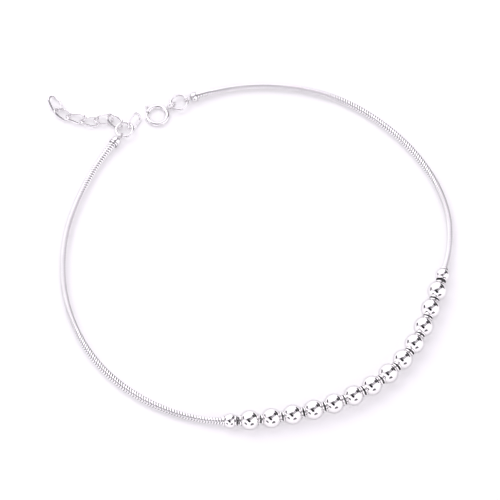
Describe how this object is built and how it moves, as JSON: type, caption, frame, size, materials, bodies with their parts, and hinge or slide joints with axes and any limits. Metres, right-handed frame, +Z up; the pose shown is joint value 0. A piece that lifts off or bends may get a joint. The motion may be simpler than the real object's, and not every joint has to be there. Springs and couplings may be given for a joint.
{
  "type": "beaded snake chain ankle bracelet",
  "caption": "Slender polished silver snake chain with a row of round beads at the front, a spring ring clasp at one end and a short oval-link extender at the other.",
  "frame": {"origin": "middle of the bounding box's bottom, on the surface the bracelet lies on", "axes": "+Z up, +X along the loop's longest side, from the extender's side to the beads' side, +Y from the middle of the chain towards the clasp and the extender"},
  "size_m": [0.0842, 0.0808, 0.004],
  "materials": {
    "chain": "polished silver",
    "beads": "mirror-polished silver",
    "findings": "polished silver"
  },
  "bodies": {
    "bracelet": {"snake_chain": "chain", "bead_01": "beads", "bead_02": "beads", "bead_03": "beads", "bead_04": "beads", "bead_05": "beads", "bead_06": "beads", "bead_07": "beads", "bead_08": "beads", "bead_09": "beads", "bead_10": "beads", "bead_11": "beads", "bead_12": "beads", "bead_13": "beads", "end_bead_right": "beads", "end_bead_left": "beads", "end_cap_right": "findings", "end_cap_left": "findings", "jump_ring_right": "findings", "jump_ring_left": "findings", "clasp_ring": "findings", "closing_link": "findings", "extender_link_1": "findings", "extender_link_2": "findings", "extender_link_3": "findings", "extender_link_4": "findings", "extender_link_5": "findings", "extender_link_6": "findings"},
    "trigger": {"clasp_trigger": "findings"}
  },
  "joints": [
    {"name": "trigger_pull", "type": "hinge", "parent": "bracelet", "child": "trigger", "pos_m": [-0.01913, 0.03263, 0.00047], "axis": [0, 0, -1], "range_deg": [0, 44], "stiffness_Nm_per_rad": 0.002}
  ]
}
